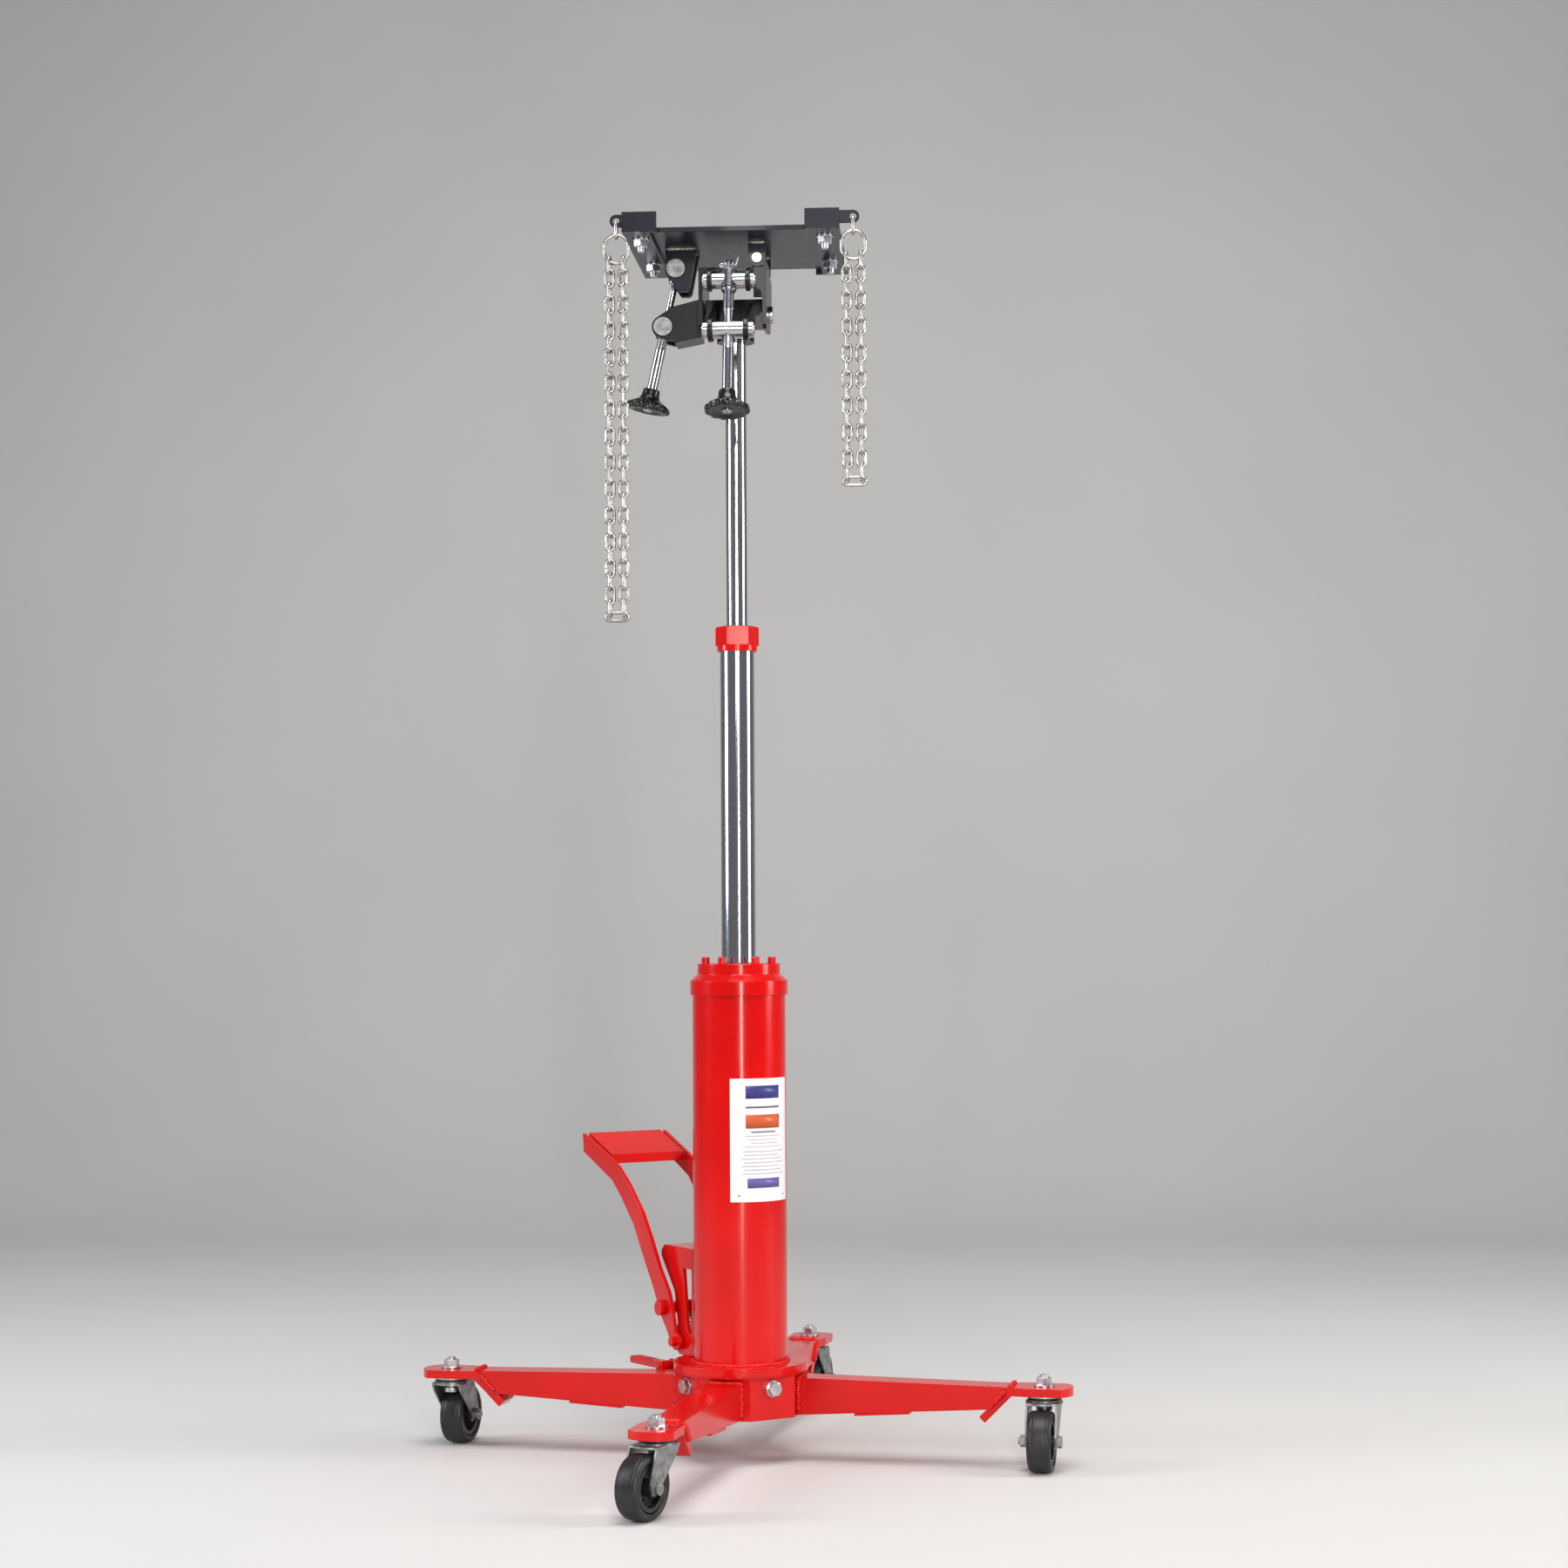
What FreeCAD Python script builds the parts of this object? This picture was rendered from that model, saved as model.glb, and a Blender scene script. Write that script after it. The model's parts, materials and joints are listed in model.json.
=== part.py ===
import FreeCAD, Part
import math
import os

# Two-stage hydraulic transmission jack, shown raised. Millimetres, +Z up, the origin is on the
# floor under the column axis, +X is the right end of the table and -Y is its front.

# --- four-legged base ---
LEG_ANGLES = {"right": -9.8, "back": 80.2, "left": 170.2, "front": 260.2}
PUMP_ANGLE = 125.2
HUB_APOTHEM = 77.0
HUB_BOTTOM = 57.0
HUB_TOP = 111.0
PLATE = 6.0
LEG_WIDTH = 40.0
LEG_WALL = 4.0
STUD_RADIUS = 385.0
FOOT_TOP = 100.0
FOOT_THICK = 10.0
FOOT_TIP = 421.0
# --- casters ---
WHEEL_R = 37.5
WHEEL_WIDTH = 30.0
TRAIL = 30.0
TRAIL_ANGLES = {"right": 261.5, "back": 77.0, "left": 76.5, "front": 243.0}
FORK_PLATE = 2.5
# --- column ---
FLANGE_R = 85.0
FLANGE_TOP = 121.0
TUBE_R = 59.0
TUBE_TOP = 600.0
CAP_TOP = 620.0
CYLINDER_R = 31.0
CYLINDER_BORE = 25.0
SCREW_CIRCLE = 42.0
# --- rams, raised ---
LOWER_RAM_R = 22.0
LOWER_RAM_BORE = 16.0
LOWER_RAM_BOTTOM = 539.0
LOWER_RAM_TOP = 1016.0
UPPER_RAM_R = 13.5
UPPER_RAM_BOTTOM = 918.0
UPPER_RAM_TOP = 1413.0
RUN_FIT = 0.06
FREE_FIT = 0.35
# --- head ---
TILT_PIN_Z = 1448.0
TILT_PIN_R = 7.0
EAR_IN = 19.5
EAR_OUT = 25.0
SIDE_IN = 38.0
SIDE_OUT = 43.0
FRONT_TOP = (-100.0, 1472.6)
FRONT_LOW = (-114.0, 1407.3)
SIDE_TOP = (-74.5, 1506.0)
SIDE_LOW = (-91.0, 1431.5)
SCREW_R = 6.75
SCREW_END_R = 4.5
SCREW_CLEAR = 1.1
TABLE_PIN = (31.4, 1511.6)
TABLE_PIN_R = 6.5
# --- table ---
TABLE_MID = 5.0
TABLE_X = 131.0
TABLE_Y = 112.0
TABLE_BOTTOM = 1532.0
TABLE_THICK = 6.0
BOLT_X = 115.0
BOLT_FRONT = -98.0
BOLT_BACK = 44.0
ARM_X = 118.0
ARM_WIDTH = 34.0
ARM_THICK = 5.0
ARM_FRONT = -139.0
ARM_BACK = 128.0
LIP_TOP = 1552.0
EYE_LEFT = -137.0
EYE_RIGHT = 157.0
EYE_Y = -136.0
EYE_Z = 1541.0
EYE_R = 4.2
# --- chains ---
WIRE_R = 2.0
LINK_LONG = 25.0
LINK_WIDE = 14.0
LINK_STEP = 16.4
LINK_GAP = 0.4
STRAND_GAP = 17.0
RING_LONG = 40.0
RING_WIDE = 34.0
# --- foot pump, in the plane of PUMP_ANGLE: distance out from the axis, then height ---
PIVOT = (85.0, 138.0)
ROLLER = (112.0, 178.0)
ROLLER_R = 8.0
PUMP_OUT = 114.0

V = FreeCAD.Vector
X = V(1, 0, 0)
Y = V(0, 1, 0)
Z = V(0, 0, 1)


def cylinder(radius, start, end):
    """A round bar from one point to another."""
    a = V(*start)
    b = V(*end)
    return Part.makeCylinder(radius, (b - a).Length, a, b - a)


def ring(outer, inner, start, end):
    return cylinder(outer, start, end).cut(cylinder(inner, start, end))


def block(x0, x1, y0, y1, z0, z1):
    return Part.makeBox(x1 - x0, y1 - y0, z1 - z0, V(x0, y0, z0))


def turned(shape, degrees, centre=V(0, 0, 0), axis=Z):
    out = shape.copy()
    out.rotate(centre, axis, degrees)
    return out


def moved(shape, x, y, z):
    out = shape.copy()
    out.translate(V(x, y, z))
    return out


def lathe(profile):
    """Turns a closed outline of (radius, height) pairs about Z."""
    points = [V(r, 0, z) for r, z in profile]
    face = Part.Face(Part.makePolygon(points + points[:1]))
    return face.revolve(V(0, 0, 0), Z, 360)


def plate(points, low, high, along):
    """A flat plate: an outline in the two other axes, thick from low to high along X, Y or Z."""
    make = {"x": lambda a, b: V(low, a, b), "y": lambda a, b: V(a, low, b), "z": lambda a, b: V(a, b, low)}
    corners = [make[along](a, b) for a, b in points]
    face = Part.Face(Part.makePolygon(corners + corners[:1]))
    return face.extrude({"x": X, "y": Y, "z": Z}[along] * (high - low))


def joined(first, *others):
    return first.fuse(list(others)).removeSplitter()


def disc(a, b, radius, low, high, along):
    """A disc centred at (a, b) in the two other axes."""
    ends = {"x": ((low, a, b), (high, a, b)), "y": ((a, low, b), (a, high, b)), "z": ((a, b, low), (a, b, high))}
    return cylinder(radius, *ends[along])


def lug(first, r1, second, r2, low, high, along):
    """A plate whose outline is two circles and their common tangents."""
    dx = second[0] - first[0]
    dy = second[1] - first[1]
    length = math.hypot(dx, dy)
    base = math.atan2(dy, dx)
    spread = math.acos((r1 - r2) / length)
    corners = []
    for centre, radius, sign in ((first, r1, 1), (second, r2, 1), (second, r2, -1), (first, r1, -1)):
        angle = base + sign * spread
        corners.append((centre[0] + radius * math.cos(angle), centre[1] + radius * math.sin(angle)))
    body = plate(corners, low, high, along)
    return joined(body, disc(*first, r1, low, high, along), disc(*second, r2, low, high, along))


def hexagon(flats, z0, z1, x=0.0, y=0.0):
    radius = flats / math.sqrt(3)
    points = []
    for i in range(6):
        angle = math.radians(60 * i + 30)
        points.append((x + radius * math.cos(angle), y + radius * math.sin(angle)))
    return plate(points, z0, z1, "z")


def bolt_head(flats, height):
    """A hexagon with its top corners rounded off, standing on z = 0."""
    top = lathe([(0, 0), (flats, 0), (flats, height - 2.4), (flats / 2 - 0.4, height), (0, height)])
    return hexagon(flats, 0, height).common(top)


def export(name, *solids):
    shape = solids[0] if len(solids) == 1 else Part.makeCompound(list(solids))
    shape.exportStep("parts/" + name + ".step")


# --- base ---


def octagon(apothem, z0, z1):
    """The hub's outline, with its flats towards the legs and between them."""
    radius = apothem / math.cos(math.pi / 8)
    points = []
    for i in range(8):
        angle = math.radians(LEG_ANGLES["right"] + 22.5 + 45 * i)
        points.append((radius * math.cos(angle), radius * math.sin(angle)))
    return plate(points, z0, z1, "z")


def base_hub():
    shell = octagon(HUB_APOTHEM, HUB_BOTTOM, HUB_TOP)
    shell = shell.cut(octagon(HUB_APOTHEM - PLATE, HUB_BOTTOM - 1, HUB_TOP - PLATE))
    for angle in LEG_ANGLES.values():
        hole = cylinder(5.2, (HUB_APOTHEM - 10, 0, 95), (HUB_APOTHEM + 2, 0, 95))
        shell = shell.cut(turned(hole, angle + 45))
    return shell


def leg(angle):
    """A tapered box section, cut at 45 degrees where its foot plate closes it."""
    outer = plate([(HUB_APOTHEM, 58), (HUB_APOTHEM, 104), (344, 100), (316, 72)],
                  -LEG_WIDTH / 2, LEG_WIDTH / 2, "y")
    inner = plate([(HUB_APOTHEM - 1, 62), (HUB_APOTHEM - 1, 100), (341, 96), (321, 76), (250, 72)],
                  -LEG_WIDTH / 2 + LEG_WALL, LEG_WIDTH / 2 - LEG_WALL, "y")
    strip = plate([(150, 59), (220, 63.3), (220, 66.3), (150, 62)], -LEG_WIDTH / 2, LEG_WIDTH / 2, "y")
    return turned(joined(outer.cut(inner), strip), angle)


def foot_plate(angle):
    """A bent plate: a 45 degree end plate for the leg, and a flat tongue for the caster."""
    bent = plate([(307, 63), (344, 100), (425, 100), (425, 90), (348.2, 90), (314.1, 55.9)], -27, 27, "y")
    tip = plate([(300, -20), (335, -20), (365, -27), (409, -27), (409, 27), (365, 27), (335, 20), (300, 20)],
                50, 105, "z")
    arc = disc(STUD_RADIUS, 0, FOOT_TIP - STUD_RADIUS, 50, 105, "z")
    outline = tip.fuse(arc.common(block(400, 430, -27, 27, 50, 105)))
    foot = bent.common(outline)
    return turned(foot.cut(disc(STUD_RADIUS, 0, 6.2, 80, 110, "z")), angle)


def hub_bolt(angle):
    """A hexagon bolt and washer in one of the hub's corner faces."""
    head = moved(bolt_head(16, 7), 0, 0, 2)
    washer = cylinder(10, (0, 0, 0), (0, 0, 2))
    shank = cylinder(5, (0, 0, -12), (0, 0, 2))
    bolt = turned(joined(head, washer, shank), 90, V(0, 0, 0), Y)
    return turned(moved(bolt, HUB_APOTHEM, 0, 95), angle)


def caster_stud(angle):
    """The stud, its nut on the plate and the upper race under it."""
    nut = moved(bolt_head(17, 9), 0, 0, FOOT_TOP + 2)
    washer = cylinder(13, (0, 0, FOOT_TOP), (0, 0, FOOT_TOP + 2))
    end = cylinder(5.6, (0, 0, FOOT_TOP + 2), (0, 0, FOOT_TOP + 14))
    stud = cylinder(6, (0, 0, 72), (0, 0, FOOT_TOP + 2))
    race = lathe([(6, 85.5), (20, 85.5), (23, 88), (23, 90), (6, 90)])
    head = lathe([(0, 70), (9, 70), (10, 72), (10, 76), (0, 76)])
    return turned(moved(joined(nut, washer, end, stud, race, head), STUD_RADIUS, 0, 0), angle)


# --- casters ---


def at_caster(shape, name):
    """Places a caster piece, made with its stud on the origin and its wheel towards +X."""
    angle = math.radians(LEG_ANGLES[name])
    spun = turned(shape, TRAIL_ANGLES[name])
    return moved(spun, STUD_RADIUS * math.cos(angle), STUD_RADIUS * math.sin(angle), 0)


def fork():
    """A pressed steel fork with its lower race, and the axle bolt as a piece of its own."""
    inside = WHEEL_WIDTH / 2 + 2
    outside = inside + FORK_PLATE
    top = lug((0, 0), 23, (14, 0), 19.5, 80, 82.5, "z")
    legs = plate([(-20, 82.5), (28, 82.5), (42, 44), (38, 31), (24, 31), (18, 40), (-14, 72)],
                 -outside, outside, "y")
    legs = legs.cut(block(-60, 90, -inside, inside, 0, 80))
    lower_race = lathe([(11, 82), (21, 82), (21, 84.2), (17, 85.2), (11, 85.2)])
    body = joined(top, legs, lower_race).cut(cylinder(10.6, (0, 0, 60), (0, 0, 90)))
    body = body.cut(cylinder(4.1, (TRAIL, -40, WHEEL_R), (TRAIL, 40, WHEEL_R)))
    return body


def axle():
    inside = WHEEL_WIDTH / 2 + 2
    outside = inside + FORK_PLATE
    rod = cylinder(4, (TRAIL, -outside - 9, WHEEL_R), (TRAIL, outside, WHEEL_R))
    head = turned(bolt_head(13, 5.5), -90, V(0, 0, 0), X)
    head = moved(head, TRAIL, outside, WHEEL_R)
    nut = turned(bolt_head(13, 6.5), 90, V(0, 0, 0), X)
    nut = moved(nut, TRAIL, -outside, WHEEL_R)
    return joined(rod, head, nut)


def wheel_core():
    """A moulded core with five round holes, a rim and a hub sleeve."""
    half = WHEEL_WIDTH / 2
    outline = [(4.4, -half - 1), (10, -half - 1), (10, -4), (22, -4), (22, -half + 2), (27, -half + 2),
               (27, half - 2), (22, half - 2), (22, 4), (10, 4), (10, half + 1), (4.4, half + 1)]
    core = lathe(outline)
    for i in range(5):
        angle = math.radians(72 * i)
        core = core.cut(disc(16 * math.cos(angle), 16 * math.sin(angle), 4.2, -10, 10, "z"))
    return moved(turned(core, 90, V(0, 0, 0), X), TRAIL, 0, WHEEL_R)


def tyre():
    half = WHEEL_WIDTH / 2
    outline = [(27, -half + 1), (33, -half), (36.3, -half + 2), (WHEEL_R, -half + 7),
               (WHEEL_R, half - 7), (36.3, half - 2), (33, half), (27, half - 1)]
    return moved(turned(lathe(outline), 90, V(0, 0, 0), X), TRAIL, 0, WHEEL_R)


# --- column ---


def reservoir_tube():
    flange = cylinder(FLANGE_R, (0, 0, HUB_TOP), (0, 0, FLANGE_TOP))
    tube = ring(TUBE_R, TUBE_R - 5, (0, 0, FLANGE_TOP), (0, 0, TUBE_TOP))
    port = cylinder(8.1, (0, -TUBE_R - 5, 540), (0, -TUBE_R + 15, 540))
    return joined(flange, tube).cut(turned(port, 215.0))


def oil_plug():
    """A hexagon plug whose rim meets the round tube."""
    head = moved(turned(bolt_head(14, 6), 90, V(0, 0, 0), X), 0, -TUBE_R - 2.5, 540)
    rim = cylinder(11, (0, -TUBE_R + 2, 540), (0, -TUBE_R - 2.5, 540))
    rim = rim.cut(cylinder(TUBE_R + 0.1, (0, 0, 500), (0, 0, 580)))
    thread = cylinder(8, (0, -TUBE_R - 1, 540), (0, -TUBE_R + 8, 540))
    return turned(joined(head, rim, thread), 215.0)


def pressure_cylinder():
    return ring(CYLINDER_R, CYLINDER_BORE, (0, 0, FLANGE_TOP), (0, 0, TUBE_TOP))


def column_cap():
    bore = LOWER_RAM_R + FREE_FIT
    outline = [(TUBE_R + 0.05, 580.5), (62, 580.5), (62, 598), (53, 606), (52.5, 606.5), (52.5, CAP_TOP - 1),
               (51.5, CAP_TOP), (27.05, CAP_TOP), (27.05, 615), (bore, 615), (bore, TUBE_TOP),
               (TUBE_R + 0.05, TUBE_TOP)]
    cap = lathe(outline)
    for i in range(6):
        angle = math.radians(60 * i + 4.6)
        x = SCREW_CIRCLE * math.cos(angle)
        y = SCREW_CIRCLE * math.sin(angle)
        cap = cap.cut(disc(x, y, 3.1, 608, CAP_TOP + 1, "z"))
    return cap


def cap_screw(angle):
    head = lathe([(0, 0), (5.2, 0), (5.2, 7), (4.4, 8), (0, 8)])
    head = head.cut(hexagon(5, 4, 9))
    screw = joined(head, cylinder(3, (0, 0, -10), (0, 0, 1)))
    return turned(moved(screw, SCREW_CIRCLE, 0, CAP_TOP), angle)


def wiper(ram_radius, outer, z0, z1):
    inner = ram_radius + RUN_FIT
    return lathe([(inner, z0), (outer, z0), (outer, z1), (inner + 2, z1 + 1.5), (inner, z1 + 1.5)])


def name_plate():
    """A thin sticker that follows the tube."""
    sheet = ring(TUBE_R + 0.5, TUBE_R + 0.1, (0, 0, 324), (0, 0, 477))
    wedge = plate([(0, 0), (200 * math.cos(0.75), 200 * math.sin(0.75)), (300, 0),
                   (200 * math.cos(0.75), -200 * math.sin(0.75))], 300, 500, "z")
    return sheet.common(turned(wedge, -54.0))


# --- rams ---


def lower_ram():
    return ring(LOWER_RAM_R, LOWER_RAM_BORE, (0, 0, LOWER_RAM_BOTTOM), (0, 0, LOWER_RAM_TOP))


def lower_piston():
    bore = CYLINDER_BORE - RUN_FIT
    body = lathe([(0, 515), (bore - 1, 515), (bore, 516), (bore, 521), (bore - 3, 521), (bore - 3, 526),
                  (bore, 526), (bore, 538), (bore - 1, 539), (0, 539)])
    return body


def gland_nut():
    bore = UPPER_RAM_R + FREE_FIT
    collar = ring(25.5, bore, (0, 0, LOWER_RAM_TOP), (0, 0, 1023.3))
    thread = ring(LOWER_RAM_BORE, bore, (0, 0, 995), (0, 0, LOWER_RAM_TOP))
    rounded = lathe([(0, 1023.3), (30, 1023.3), (30, 1044.5), (25.5, 1047.5), (0, 1047.5)])
    flats = turned(hexagon(48, 1023.3, 1047.5), 36).common(rounded)
    flats = flats.cut(cylinder(bore, (0, 0, 1022), (0, 0, 1049)))
    recess = cylinder(18.05, (0, 0, 1043.5), (0, 0, 1049))
    return joined(collar, thread, flats).cut(recess)


def upper_ram():
    return cylinder(UPPER_RAM_R, (0, 0, UPPER_RAM_BOTTOM), (0, 0, UPPER_RAM_TOP + 20))


def upper_piston():
    bore = LOWER_RAM_BORE - RUN_FIT
    return lathe([(0, 900), (bore - 1, 900), (bore, 901), (bore, 906), (bore - 2, 906), (bore - 2, 910),
                  (bore, 910), (bore, 917), (bore - 1, 918), (0, 918)])


# --- head ---


def ram_head():
    """The socket on the upper ram, with a cross block and two ears for the front adjuster."""
    socket = cylinder(24, (0, 0, UPPER_RAM_TOP), (0, 0, 1438))
    body = block(-36.5, 36.5, -24, 24, 1434, 1464)
    ears = lug(FRONT_LOW, 15, (0, TILT_PIN_Z), 19, EAR_IN, EAR_OUT, "x")
    others = lug(FRONT_LOW, 15, (0, TILT_PIN_Z), 19, -EAR_OUT, -EAR_IN, "x")
    head = joined(socket, body, ears, others)
    head = head.cut(cylinder(UPPER_RAM_R, (0, 0, 1390), (0, 0, UPPER_RAM_TOP + 20)))
    head = head.cut(cylinder(TILT_PIN_R + RUN_FIT, (-60, 0, TILT_PIN_Z), (60, 0, TILT_PIN_Z)))
    y, z = FRONT_LOW
    return head.cut(cylinder(6 + RUN_FIT, (-60, y, z), (60, y, z)))


def side_plate(low, high):
    """One cheek of the tilting channel, hung on the tilt pin."""
    cheek = plate([(-50, 1500), (50, 1500), (50, 1466), (24, 1428), (-44, 1422), (-50, 1427)], low, high, "x")
    return cheek.cut(cylinder(TILT_PIN_R, (-60, 0, TILT_PIN_Z), (60, 0, TILT_PIN_Z)))


def front_ear(low, high):
    """One of the two ears that reach forward from the channel to the front adjuster."""
    y, z = FRONT_TOP
    ear = plate([(y - 2, z + 13.8), (-46, 1500), (-20, 1500), (-20, 1488), (y + 8, z - 11.4)], low, high, "x")
    ear = joined(ear, disc(y, z, 14, low, high, "x"))
    return ear.cut(disc(y, z, 7 + RUN_FIT, low - 1, high + 1, "x"))


def side_arm(low, high):
    """One plate of the arm that carries the side adjuster."""
    x, z = SIDE_LOW
    arm = plate([(x - 9, z + 11.4), (-78.5, 1457), (-42, 1466), (-42, 1421), (-80, 1413.6), (x - 3, z - 14.2)],
                low, high, "y")
    arm = joined(arm, disc(x, z, 14.5, low, high, "y"))
    return arm.cut(disc(x, z, 12 + RUN_FIT, low - 1, high + 1, "y"))


def tilt_frame():
    left = side_plate(-SIDE_OUT, -SIDE_IN)
    right = side_plate(SIDE_IN, SIDE_OUT)
    top = block(-SIDE_OUT, SIDE_OUT, -50, 50, 1494, 1500)
    ears = [front_ear(-26.5, -21.5), front_ear(21.5, 26.5)]
    brow = block(27, SIDE_OUT, -50, -45, 1462, 1499)
    x, z = TABLE_PIN
    eye = disc(x, z, 11, -38, 38, "y")
    web = block(x - 7, x + 7, -38, 38, 1499, z)
    floor = plate([(-76, 1414.4), (-42, 1421), (-42, 1417), (-76, 1410.4)], -22, 22, "y")
    frame = joined(left, right, top, *ears, brow, eye, web, side_arm(14, 22), side_arm(-22, -14), floor)
    return frame.cut(disc(x, z, TABLE_PIN_R, -60, 60, "y"))


def tilt_pin():
    pin = cylinder(TILT_PIN_R, (-SIDE_OUT - 2, 0, TILT_PIN_Z), (SIDE_OUT, 0, TILT_PIN_Z))
    head = cylinder(11, (SIDE_OUT, 0, TILT_PIN_Z), (SIDE_OUT + 5, 0, TILT_PIN_Z))
    clip = cylinder(10, (-SIDE_OUT - 2, 0, TILT_PIN_Z), (-SIDE_OUT, 0, TILT_PIN_Z))
    return joined(pin, head, clip)


# --- front adjuster ---


FRONT_LEAN = math.degrees(math.atan2(FRONT_TOP[0] - FRONT_LOW[0], FRONT_TOP[1] - FRONT_LOW[1]))


def nodded(shape, centre=FRONT_TOP):
    """Leans a piece of the front adjuster, made upright on the given trunnion, out at the bottom."""
    y, z = centre
    return turned(shape, -FRONT_LEAN, V(0, y, z), X)


def front_upper_trunnion():
    y, z = FRONT_TOP
    bar = cylinder(10.2, (-21, y, z), (21, y, z))
    journal = cylinder(7, (-33, y, z), (33, y, z))
    collars = [ring(9.8, 7, (27, y, z), (31.5, y, z)), ring(9.8, 7, (-31.5, y, z), (-27, y, z))]
    saddle = cylinder(11, (0, y, z - 11), (0, y, z + 11))
    whole = joined(bar, journal, saddle, *collars)
    return nodded(whole.cut(cylinder(SCREW_END_R + RUN_FIT, (0, y, z - 20), (0, y, z + 20))))


def front_lower_trunnion():
    y, z = FRONT_LOW
    bar = cylinder(11.2, (-EAR_IN + 0.5, y, z), (EAR_IN - 0.5, y, z))
    journal = cylinder(6, (-33, y, z), (33, y, z))
    left = cylinder(10.5, (-31.5, y, z), (-EAR_OUT - 0.5, y, z))
    right = cylinder(10.5, (EAR_OUT + 0.5, y, z), (31.5, y, z))
    nut = joined(bar, journal, left, right)
    nut = nut.cut(cylinder(SCREW_R + SCREW_CLEAR, (0, y, z - 20), (0, y, z + 20)))
    return nodded(nut, FRONT_LOW)


def front_screw():
    """A thick rod with a collar, and a thinner end that passes up through the trunnion."""
    y, z = FRONT_TOP
    rod = cylinder(SCREW_R, (0, y, z - 177), (0, y, z - 12))
    collar = cylinder(9.5, (0, y, z - 15), (0, y, z - 11.4))
    end = cylinder(SCREW_END_R, (0, y, z - 12), (0, y, z + 26))
    whole = joined(rod, collar, end).cut(cylinder(1.3, (-20, y, z + 20), (20, y, z + 20)))
    return nodded(whole)


def castle_nut():
    """A slotted nut on the thin end of the screw."""
    y, z = FRONT_TOP
    nut = moved(bolt_head(14, 11), 0, y, z + 11.4)
    nut = nut.cut(cylinder(SCREW_END_R, (0, y, z), (0, y, z + 40)))
    for i in range(3):
        slot = block(-1.6, 1.6, -20, 20, z + 18.2, z + 26)
        nut = nut.cut(moved(turned(slot, 60 * i + 30), 0, y, 0))
    return nodded(nut)


def split_pin():
    """The pin through the slots: an eye at one end and a leg bent up at the other."""
    y, z = FRONT_TOP
    pin = cylinder(1.1, (-8, y, z + 20), (8.5, y, z + 20))
    eye = Part.makeTorus(2.2, 1.0, V(-9.4, y, z + 20), Y)
    leg_up = cylinder(1.1, (8.2, y, z + 19.6), (11, y, z + 31))
    return nodded(joined(pin, eye, leg_up))


def knob(centre):
    """A lobed hand wheel under its hub, on the lower end of a screw."""
    disc_body = lathe([(SCREW_R, 3), (14, 3), (20, 0.6), (26.5, 0), (28.6, 2), (29, 5), (28, 8), (21, 12), (14, 16),
                       (11.6, 21), (11, 28), (9.5, 29.5), (SCREW_R, 29.5)])
    for i in range(12):
        a = math.radians(30 * i)
        disc_body = disc_body.cut(disc(31.2 * math.cos(a), 31.2 * math.sin(a), 4.5, -1, 13, "z"))
    return moved(disc_body, *centre)


# --- side adjuster, made upright on its upper trunnion and then leaned ---

SIDE_LEAN = math.degrees(math.atan2(SIDE_TOP[0] - SIDE_LOW[0], SIDE_TOP[1] - SIDE_LOW[1]))


def leaned(shape):
    x, z = SIDE_TOP
    return turned(shape, SIDE_LEAN, V(x, 0, z), Y)


def trunnion(centre, hole):
    x, z = centre
    bar = disc(x, z, 12, -25, 25, "y")
    axis = V(math.sin(math.radians(SIDE_LEAN)), 0, math.cos(math.radians(SIDE_LEAN)))
    a = V(x, 0, z) - axis * 20
    return bar.cut(Part.makeCylinder(hole, 40, a, axis))


def side_screw():
    """A thick rod below the lower trunnion and a thinner one above it."""
    x, z = SIDE_TOP
    rod = cylinder(SCREW_R, (x, 0, z - 184), (x, 0, z - 67))
    thin = cylinder(SCREW_END_R, (x, 0, z - 67), (x, 0, z + 15))
    clip = cylinder(8.5, (x, 0, z + 12.4), (x, 0, z + 15))
    collar = cylinder(8.5, (x, 0, z - 16), (x, 0, z - 12.4))
    return leaned(joined(rod, thin, clip, collar))


def side_knob():
    x, z = SIDE_TOP
    return leaned(knob((x, 0, z - 184)))


# --- table ---


def table_plate():
    body = block(TABLE_MID - TABLE_X, TABLE_MID + TABLE_X, -TABLE_Y, TABLE_Y, TABLE_BOTTOM, TABLE_BOTTOM + TABLE_THICK)
    x, z = TABLE_PIN
    lugs = []
    for side in (-1, 1):
        low, high = sorted((side * 41, side * 50))
        web = block(x - 11, x + 11, low, high, z, TABLE_BOTTOM + 1)
        lugs.append(joined(web, disc(x, z, 11, low, high, "y")))
        low, high = sorted((side * 14, side * 22))
        lugs.append(side_lug(low, high))
    table = joined(body, *lugs)
    table = table.cut(disc(x, z, TABLE_PIN_R + RUN_FIT, -60, 60, "y"))
    for bx, by in BOLTS:
        sink = lathe([(0, TABLE_BOTTOM - 1), (5.2, TABLE_BOTTOM - 1), (5.2, TABLE_BOTTOM + 1.2),
                      (10, TABLE_BOTTOM + TABLE_THICK), (0, TABLE_BOTTOM + TABLE_THICK)])
        table = table.cut(moved(sink, bx, by, 0))
    return table


BOLTS = [(TABLE_MID + i * BOLT_X, y) for i in (-1, 1) for y in (BOLT_FRONT, BOLT_BACK)]


def side_lug(low, high):
    """One of the two plates under the table that hold the side adjuster's upper trunnion."""
    x, z = SIDE_TOP
    top = TABLE_BOTTOM + 1
    web = plate([(-88, top), (-47, top), (-57, 1480), (-60, 1476.8), (-71, 1476.8), (x - 13.2, z - 6)], low, high, "y")
    lug_body = joined(web, disc(x, z, 14, low, high, "y"))
    return lug_body.cut(disc(x, z, 12 + RUN_FIT, low - 1, high + 1, "y"))


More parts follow.
